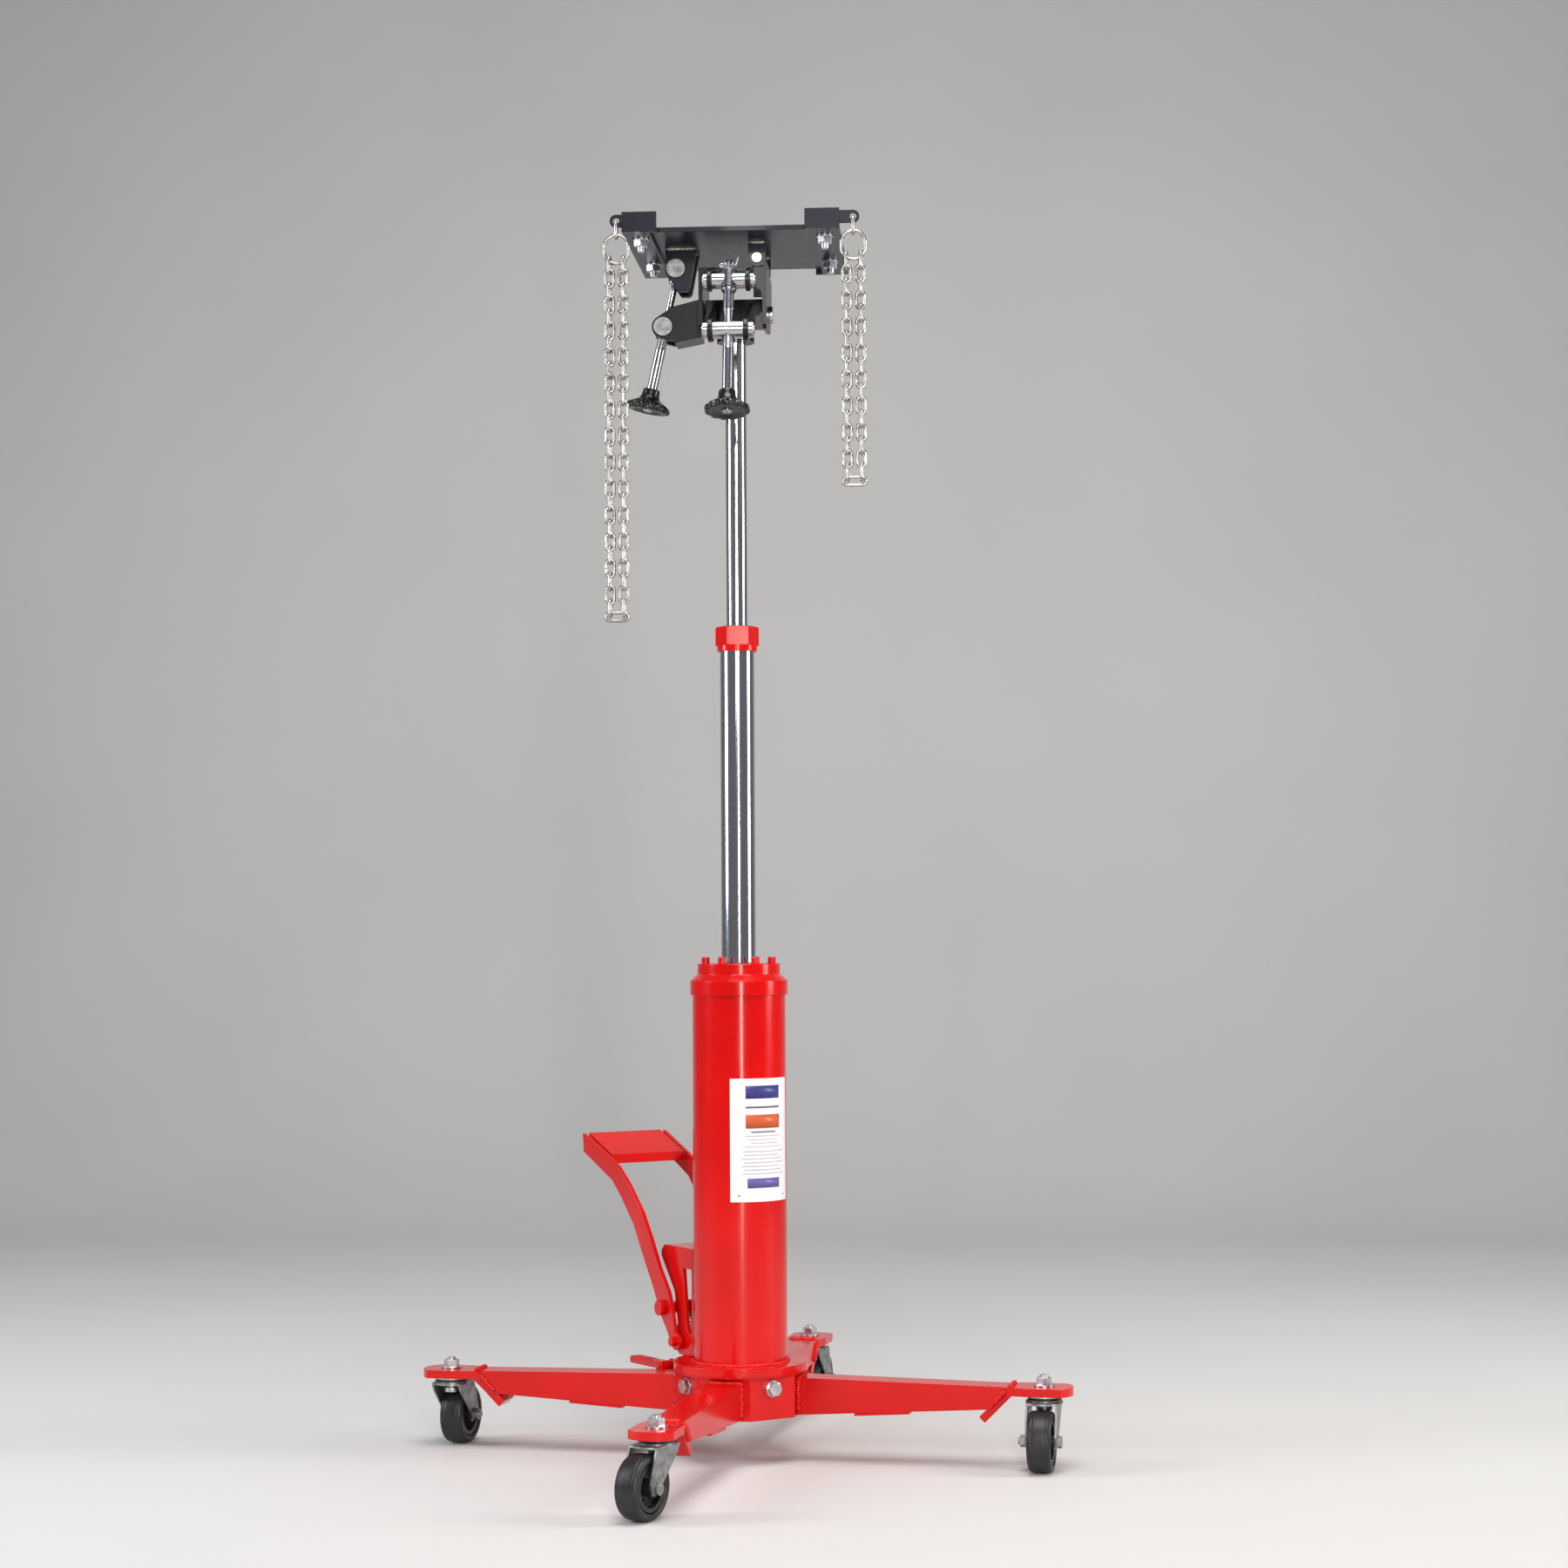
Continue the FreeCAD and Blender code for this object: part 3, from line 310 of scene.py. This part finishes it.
tyre_rubber = polymer("moulded_tyre_rubber", "121213", "4A4640", 0.42, 900.0, 0.2, 0.22)
seal_rubber = polymer("nitrile_seal", "141414", "2C2A28", 0.45, 900.0, 0.1, 0.3)
core_plastic = polymer("moulded_nylon_core", "161617", "4A4640", 0.36, 700.0, 0.12, 0.2)
knob_plastic = polymer("moulded_phenolic", "0C0C0D", "33302C", 0.24, 700.0, 0.1, 0.2)
print("polymers ready")

# %% [markdown]
# ## Finishes for the CAD nodes
# Most pieces already have their true shape, so they only need their finish. The material goes
# into the slots of the node's own mesh, and the mesh itself stays as it is.

# %% Give each node its finish
finishes = {
    red_enamel: ["base_hub", "leg_right", "leg_back", "leg_left", "leg_front", "foot_plates", "reservoir_tube",
                 "column_cap", "cap_screws", "gland_nut", "pedal_frame", "pedal_bracket", "pump_body",
                 "release_bracket", "release_pedal", "pedal_pins"],
    navy_enamel: ["table_plate", "corner_arms"],
    black_enamel: ["ram_head", "tilt_frame", "oil_plug"],
    hard_chrome: ["lower_ram", "upper_ram"],
    zinc_plate: ["hub_bolts", "caster_studs", "castle_nut", "table_bolts", "pump_spring"],
    bright_rod: ["front_upper_trunnion", "front_lower_trunnion", "tilt_pin", "table_pin"],
    dull_zinc: ["caster_fork_right", "caster_fork_back", "caster_fork_left", "caster_fork_front",
                "side_upper_trunnion", "side_lower_trunnion", "front_screw", "side_screw"],
    turned_steel: ["pressure_cylinder", "lower_piston", "upper_piston", "pump_plunger"],
    chain_zinc: ["chain_left", "chain_right"],
    tyre_rubber: ["caster_tyre_right", "caster_tyre_back", "caster_tyre_left", "caster_tyre_front"],
    seal_rubber: ["lower_wiper", "upper_wiper"],
    core_plastic: ["caster_wheel_right", "caster_wheel_back", "caster_wheel_left", "caster_wheel_front"],
    knob_plastic: ["front_knob", "side_knob"],
}
for material, names in finishes.items():
    for name in names:
        mesh = nodes[name].data
        mesh.materials.clear()
        mesh.materials.append(material)
print("finished", sum(len(n) for n in finishes.values()), "nodes")

# %% [markdown]
# ## Tyres
# A caster's tyre is a solid ring with rounded shoulders and two fine grooves where the halves of
# the mould met the tread. It could be turned from a drawn profile; a superellipse gives the same
# plump section from one formula, and the grooves are two narrow dips in it.


# %% Make the tyres
TYRE_INNER, TYRE_OUTER, TYRE_HALF = 0.0268, 0.0375, 0.0148


def tyre(name, joint, low, high, half):
    """Section: a superellipse of power 3.2 between radii low and high, less two 0.7 mm grooves."""
    u, v, axis = turning_frame(joint["axis"])
    t = np.linspace(0, TAU, 72, endpoint=False)
    c, s = np.cos(t), np.sin(t)
    width = half * np.sign(c) * np.abs(c) ** (2 / 3.2)
    radius = (low + high) / 2 + (high - low) / 2 * np.sign(s) * np.abs(s) ** (2 / 3.2)
    groove = np.exp(-((np.abs(width) - 0.0088) / 0.0007) ** 2) * (s > 0.3)
    radius = radius - 0.0008 * groove
    a = np.linspace(0, TAU, 96, endpoint=False)[:, None, None]
    spoke = np.cos(a) * u + np.sin(a) * v
    grid = np.array(joint["pos_m"]) + radius[None, :, None] * spoke + width[None, :, None] * axis
    return surface(name, grid, around=True, along=True)


for corner in ("right", "back", "left", "front"):
    piece = tyre("tyre_" + corner, joints["wheel_spin_" + corner], TYRE_INNER, TYRE_OUTER, TYRE_HALF)
    piece.data.materials.append(tyre_rubber)
    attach(piece, "wheel_" + corner)
    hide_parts("caster_tyre_" + corner)
print("tyres", piece.data.name, len(piece.data.polygons), "faces each")

# %% [markdown]
# ## Chains
# Each link is a bent wire, welded shut on one side, where the joint leaves a small swelling. The
# wire's path is a stadium: two straight sides and two half circles. With ninety links, each one
# has only two dozen sections of eight points.


# %% Make a link
WIRE = 0.002
LINK_LONG, LINK_WIDE = 0.025, 0.014
RING_LONG, RING_WIDE = 0.040, 0.034
LOOP_LONG = 0.032
LINK_STEP = 0.0164
STRAND = 0.0085  # from the middle of the chain to each of its two strands
RING_DROP, FIRST_DROP, LOOP_DROP = 0.0366, 0.0198, 0.0111


def link(centre, turn, long_side=LINK_LONG, wide=LINK_WIDE):
    """A stadium path in the X-Z plane: half circles of radius wide/2 - wire, joined by straight sides."""
    bend = wide / 2 - WIRE
    straight = (long_side - wide) / 2
    a = np.linspace(0, TAU, 24, endpoint=False) + TAU / 48
    path = np.stack([bend * np.cos(a), 0 * a, bend * np.sin(a) + straight * np.sign(np.sin(a))], -1)
    weld = 1 + 0.22 * np.exp(-((path[:, 2]) / 0.003) ** 2) * (path[:, 0] > 0)
    grid = tube(path, WIRE * 0.99 * weld, 8, closed=True, up=(0, 1, 0))
    spin = np.array(Matrix.Rotation(turn, 3, "Z"))
    return surface("link", grid @ spin.T + centre, around=True, along=True)


def chain(name, node, count):
    """A link in the eye, a ring, two strands of count links, and the level link where they turn back.
    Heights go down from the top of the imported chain: each drop is from one centre to the next."""
    low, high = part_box(node)
    x, y, top = (low.x + high.x) / 2, (low.y + high.y) / 2, high.z
    ring_z = top - RING_DROP
    first = ring_z - FIRST_DROP
    made = [link(np.array([x, y, top - LINK_LONG / 2]), TAU / 4),
            link(np.array([x, y, ring_z]), 0, RING_LONG, RING_WIDE)]
    for strand in (-1, 1):
        for i in range(count):
            wobble = 0.10 * math.sin(3.1 * i + strand)
            turn = (TAU / 4 if i % 2 == 0 else 0) + wobble
            made.append(link(np.array([x + strand * STRAND, y, first - LINK_STEP * i]), turn))
    flat = link(np.array([0, 0, 0.0]), 0, LOOP_LONG)
    last = first - LINK_STEP * (count - 1)
    flat.data.transform(Matrix.Translation((x, y, last - LOOP_DROP)) @ Matrix.Rotation(TAU / 4, 4, "Y"))
    piece = together(name, made + [flat])
    piece.data.materials.append(chain_zinc)
    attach(piece, node + "_body")
    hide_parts(node)
    return piece


left_chain = chain("chain_links_left", "chain_left", 27)
right_chain = chain("chain_links_right", "chain_right", 17)
print("chains", len(left_chain.data.polygons), len(right_chain.data.polygons), "faces")

# %% [markdown]
# ## Hand wheels
# The two adjusting screws end in a moulded wheel with a scalloped rim that fingers can grip. The
# section is a smooth profile of radius against height; the rim's radius is then made wavy with
# the angle, fading out towards the hub.


# %% Make the hand wheels
LOBES = 12


def hand_wheel(name, node, joint, body):
    """Radius = profile(height) x (1 - 0.13 ((1 + cos 12a)/2)^1.8 x rim weight), in metres,
    with the height running up along the screw."""
    u, v, axis = turning_frame(joint["axis"])
    origin = np.array(joint["pos_m"])
    run = (points_of(node) - origin) @ axis
    foot = origin + axis * run.min()
    key_h = np.array([3.2, 3, 2.2, 0.8, 0.3, 0.4, 2, 5, 7.8, 11.8, 13.8, 15.8, 20.6, 28, 29.2, 29.3]) / 1000
    key_r = np.array([6.9, 14, 16.5, 20, 23.5, 26.2, 28.3, 28.8, 27.6, 20.8, 17, 13.9, 11.4, 10.8, 9.4, 6.9]) / 1000
    t = np.linspace(0, len(key_h) - 1, 90)
    h, r = np.interp(t, np.arange(len(key_h)), key_h), np.interp(t, np.arange(len(key_r)), key_r)
    kernel = np.ones(3) / 3
    h[1:-1], r[1:-1] = np.convolve(h, kernel, "valid"), np.convolve(r, kernel, "valid")
    a = np.linspace(0, TAU, 144, endpoint=False)
    rim = np.clip((r - 0.018) / 0.010, 0, 1)[:, None]
    radius = r[:, None] * (1 - 0.13 * rim * (0.5 + 0.5 * np.cos(LOBES * a)) ** 1.8)
    spoke = np.cos(a)[:, None] * u + np.sin(a)[:, None] * v
    grid = foot + radius[..., None] * spoke[None] + h[:, None, None] * axis
    piece = surface(name, grid, around=True, caps=True)
    piece.data.materials.append(knob_plastic)
    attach(piece, body)
    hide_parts(node)
    return piece


for name, side in (("hand_wheel_front", "front"), ("hand_wheel_side", "side")):
    wheel = hand_wheel(name, side + "_knob", joints[side + "_screw_spin"], side + "_adjuster")
print("hand wheels", len(wheel.data.polygons), "faces each")

# %% [markdown]
# ## Adjusting screws
# Each screw is a thick bright rod with a collar and a thinner end that carries its nut or clip.
# Only the part that works in the lower trunnion is threaded. A thread is a helix: the radius
# depends on the height minus the pitch times the turn. Rounded crests and roots come from a
# sine, which is close to what rolling gives.


# %% Make the threaded rods
ROD, ROD_END = 0.0067, 0.00445


def threaded(name, node, joint, body, step, nut, collars, pitch=0.0025, depth=0.0004):
    """Radius = r - depth x (1 - cos(2 pi (height / pitch - angle / 2 pi))) near the nut's height,
    with r = 6.7 mm below the step and 4.45 mm above it; the thread fades out over 2 mm."""
    u, v, axis = turning_frame(joint["axis"])
    origin = np.array(joint["pos_m"])
    run = (points_of(node) - origin) @ axis
    low, high = run.min() + 0.0002, run.max() - 0.0002
    a = np.linspace(0, TAU, 28, endpoint=False)
    spoke = np.cos(a)[:, None] * u + np.sin(a)[:, None] * v
    h = np.linspace(low, step, int((step - low) / pitch * 10))[:, None]
    fade = np.clip((0.026 - np.abs(h - nut)) / 0.002, 0, 1)
    end = np.clip(np.minimum(h - low, step - h) / 0.0012, 0, 1) * 0.2 + 0.8
    radius = end * (ROD - fade * depth * (1 - np.cos(TAU * (h / pitch - a[None] / TAU))))
    parts = [surface(name, origin + radius[..., None] * spoke[None] + h[..., None] * axis, around=True, caps=True)]
    rings = [(step - 0.0004, high, ROD_END)] + collars
    for z0, z1, r in rings:
        z = np.array([z0, z0 + 0.0005, z1 - 0.0005, z1])
        rr = np.array([r - 0.0005, r, r, r - 0.0005])
        grid = origin + rr[:, None, None] * spoke[None] + z[:, None, None] * axis
        parts.append(surface("collar", grid, around=True, caps=True))
    piece = together(name, parts)
    piece.data.materials.append(bright_rod)
    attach(piece, body)
    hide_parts(node)
    return piece


front_rod = threaded("threaded_rod_front", "front_screw", joints["front_screw_spin"], "front_adjuster",
                     -0.012, -0.0668, [(-0.015, -0.0114, 0.0094)])
side_rod = threaded("threaded_rod_side", "side_screw", joints["side_screw_spin"], "side_adjuster",
                    -0.0667, -0.0763, [(-0.016, -0.0124, 0.0084), (0.0124, 0.0149, 0.0084)])
print("rods", len(front_rod.data.polygons), len(side_rod.data.polygons), "faces")

# %% [markdown]
# ## Weld beads
# The frame is welded by hand: each bead is a row of overlapping puddles, like fallen coins, about
# 3.4 mm apart. The bead is a tube along the seam whose radius swells and dips with the distance
# walked. Where the whole is painted afterwards, the bead is red too.


# %% Make the beads
def bead(corners, radius=0.0032, closed=False):
    """A tube along the polyline, its radius x (0.82 + 0.24 |sin(pi s / 3.4 mm)|), tapering at open ends."""
    corners = np.array(corners, float)
    if closed:
        corners = np.vstack([corners, corners[:1]])
    steps = np.linalg.norm(np.diff(corners, axis=0), axis=1)
    walked = np.concatenate([[0], np.cumsum(steps)])
    s = np.linspace(0, walked[-1], max(8, int(walked[-1] / 0.00065)))
    path = np.stack([np.interp(s, walked, corners[:, k]) for k in range(3)], -1)
    drift = 0.0003 * np.sin(s * 410)[:, None] * np.array([1, 1, 0.5])
    size = radius * (0.82 + 0.24 * np.abs(np.sin(math.pi * s / 0.0034)))
    if not closed:
        size = size * np.clip(np.minimum(s, s[-1] - s) / 0.003, 0.35, 1)
        path = path + drift
    return surface("bead", tube(path, size, 8, up=(0.013, 0.021, 1)), around=True, caps=True)


def placed(corners, degrees):
    """Turns points given along a leg (outwards, across, up) to that leg's direction, in metres."""
    a = math.radians(degrees)
    p = np.array(corners, float) / 1000
    return np.stack([p[:, 0] * math.cos(a) - p[:, 1] * math.sin(a),
                     p[:, 0] * math.sin(a) + p[:, 1] * math.cos(a), p[:, 2]], -1)


LEG_ANGLES = [-9.8, 80.2, 170.2, 260.2]
FOOT_SEAM, HUB_SEAM = (0.0600, 0.1215), (0.0820, 0.1105)  # radius and height
seams = []
for degrees in LEG_ANGLES:
    seams.append(bead(placed([(79, -20.5, 60), (79, -20.5, 103.5), (79, 20.5, 103.5), (79, 20.5, 60)], degrees)))
    seams.append(bead(placed([(319, -20.8, 73.5), (341, -20.8, 97)], degrees), 0.0034))
    seams.append(bead(placed([(319, 20.8, 73.5), (341, 20.8, 97)], degrees), 0.0034))
    seams.append(bead(placed([(345.5, -20, 100.3), (345.5, 20, 100.3)], degrees), 0.0034))
a = np.linspace(0, TAU, 180, endpoint=False)
for radius, height in (FOOT_SEAM, HUB_SEAM):
    ring = np.stack([radius * np.cos(a), radius * np.sin(a), 0 * a + height], -1)
    seams.append(bead(ring, 0.0027, closed=True))
base_welds = together("base_weld_beads", seams)
base_welds.data.materials.append(red_enamel)
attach(base_welds, "base")

seams = [bead(np.array([(-87, y, 1531.2), (-48, y, 1531.2)]) / 1000, 0.0026) for y in (-22.8, -13.2, 13.2, 22.8)]
seams += [bead(np.array([(21, y, 1531.2), (41.5, y, 1531.2)]) / 1000, 0.0026) for y in (-50.8, -40.2, 40.2, 50.8)]
table_welds = together("table_weld_beads", seams)
table_welds.data.materials.append(weld_metal)
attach(table_welds, "table")
print("welds", len(base_welds.data.polygons), len(table_welds.data.polygons), "faces")

# %% [markdown]
# ## Sticker
# The printed film on the column follows its curve. Its print is made of plain blocks only: a
# navy band, an orange panel, pale rows where small print would be, and a violet panel below.
# Each block is its own thin patch, computed on the cylinder a tenth of a millimetre above the
# film.


# %% Make the sticker
STICKER_TURN = math.radians(-54)
FILM_RADIUS, INK_LIFT, INK_THICK = 0.05955, 0.00012, 0.00006


def patch(u0, u1, z0, z1):
    """A piece of the cylinder: u is measured in mm round the tube from the sticker's middle."""
    steps = max(3, int((u1 - u0) / 2.0))
    angle = STICKER_TURN + np.linspace(u0, u1, steps) / (FILM_RADIUS * 1000)
    r = FILM_RADIUS + INK_LIFT
    ring = np.stack([r * np.cos(angle), r * np.sin(angle)], -1)
    z = np.array([z0, z1]) / 1000
    grid = np.zeros((2, steps, 3))
    grid[..., :2] = ring
    grid[..., 2] = z[:, None]
    return surface("patch", grid, smooth=True)


def print_ink(name, colour, rough=0.4):
    """Printed vinyl: its ink lies under a clear film, with faint scuffs."""
    material, tree = blank(name)
    place = add(tree, "TexCoord", {}, "Object")
    scuff = add(tree, "TexNoise", {"Vector": place, "Scale": 160.0, "Detail": 6.0, "Roughness": 0.7})
    rubbed = add(tree, "MapRange", {"Value": scuff, "From Min": 0.55, "From Max": 0.8, "To Max": 0.3})
    base = add(tree, "Mix", {"data_type": "RGBA", 0: rubbed, 6: linear(colour), 7: linear("9A8F88")}, 2)
    haze = add(tree, "MapRange", {"Value": scuff, "From Min": 0.3, "From Max": 0.7, "To Min": rough,
                                  "To Max": rough + 0.2})
    shader = add(tree, "BsdfPrincipled", {"IOR": 1.46, "Coat Weight": 0.3, "Coat Roughness": 0.15,
                                          "Base Color": base, "Roughness": haze})
    add(tree, "OutputMaterial", {"Surface": shader})
    return material


film = print_ink("white_vinyl", "E9E7EA")
nodes["name_plate"].data.materials.clear()
nodes["name_plate"].data.materials.append(film)
inks = {"ink_navy": "2B2E78", "ink_grey": "B7B2BC", "ink_orange": "C4521F", "ink_dark": "6A6672",
        "ink_violet": "5C5198"}
blocks = {
    "ink_navy": [(-25, 25, 452, 468)],
    "ink_orange": [(-25, 25.5, 415, 432)],
    "ink_dark": [(-25, 25, 440, 442.5), (-18, 18, 409.6, 411.4), (-35, -32, 331, 332.4), (33, 36, 331, 332.4)],
    "ink_grey": [(-26 + 4 * (i % 3), 26 - 4 * (i * 2 % 3), 405 - 4.4 * i, 406 - 4.4 * i) for i in range(4)]
    + [(-30 + 3 * (i % 2), 33 - 5 * (i * 2 % 3), 386 - 4.6 * i, 387.1 - 4.6 * i) for i in range(7)],
    "ink_violet": [(-23, 25, 341, 353)],
}
for ink, rows in blocks.items():
    print_piece = together("sticker_" + ink, [patch(*row) for row in rows])
    print_piece.data.materials.append(print_ink(ink, inks[ink]))
    solid = print_piece.modifiers.new("film", "SOLIDIFY")
    solid.thickness = INK_THICK
    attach(print_piece, "base")
print("sticker blocks", sum(len(b) for b in blocks.values()))

# %% [markdown]
# ## Floor and light
# A pale floor and a few large soft lamps, as in a small studio. Chrome and gloss paint show
# whatever stands around them, so the lamps' shapes matter: two tall strips near the camera draw
# the bright lines down the column and rams, and a panel on each side draws their edges. The rest
# of the surroundings stays dim, so that the chrome keeps its dark stripes.


# %% Floor
material, tree = blank("pale_floor")
place = add(tree, "TexCoord", {}, "Object")
cloud = add(tree, "TexNoise", {"Vector": place, "Scale": 1.2, "Detail": 5.0})
base = add(tree, "Mix", {"data_type": "RGBA", 0: cloud, 6: linear("D8D6D3"), 7: linear("CBC9C6")}, 2)
add(tree, "OutputMaterial", {"Surface": add(tree, "BsdfPrincipled", {"Roughness": 0.7, "Base Color": base})})
x = np.linspace(-1, 1, 3) * 9
y = np.concatenate([[-6.0, 2.6], 2.6 + 1.4 * np.sin(np.linspace(0.1, math.pi / 2, 14)), [4.0]])
z = np.concatenate([[0.0, 0.0], 1.4 - 1.4 * np.cos(np.linspace(0.1, math.pi / 2, 14)), [6.0]])
grid = np.zeros((len(y), 3, 3))
grid[..., 0], grid[..., 1], grid[..., 2] = x[None], y[:, None], z[:, None]
sweep = surface("studio_floor", grid)
sweep.data.materials.append(material)


# %% Lamps
def lamp(name, place, aim, size, power, colour="FFFFFF"):
    """A rectangular soft lamp that looks at the aim point."""
    data = bpy.data.lights.new(name, "AREA")
    data.shape, data.size, data.size_y, data.energy = "RECTANGLE", size[0], size[1], power
    data.color = linear(colour)[:3]
    lamp_object = bpy.data.objects.new(name, data)
    back = np.array(place, float) - np.array(aim, float)
    u, v, w = turning_frame(back)
    lamp_object.matrix_world = Matrix.Translation(place) @ Matrix(np.column_stack([u, v, w]).tolist()).to_4x4()
    bpy.context.scene.collection.objects.link(lamp_object)


lamp("strip", (0.62, -3.4, 1.2), (0, 0, 0.8), (0.2, 2.4), 60, "FFF6EE")
lamp("second_strip", (-0.25, -3.6, 1.9), (0, 0, 1.1), (0.10, 1.4), 9)
lamp("left_panel", (-2.9, -0.7, 1.7), (0, 0, 0.8), (1.0, 2.0), 58, "EEF3FF")
lamp("right_panel", (2.9, -0.3, 1.5), (0, 0, 0.8), (0.8, 2.0), 52)
lamp("overhead", (0.2, -0.9, 3.6), (0, 0, 0.6), (2.4, 1.6), 88)
world = bpy.data.worlds.new("studio")
bpy.context.scene.world = world
world.use_nodes = True
world.node_tree.nodes["Background"].inputs["Color"].default_value = linear("C9CDD4")
world.node_tree.nodes["Background"].inputs["Strength"].default_value = 0.26
bpy.context.scene.view_settings.view_transform = "Standard"
print("lamps", len(bpy.data.lights))
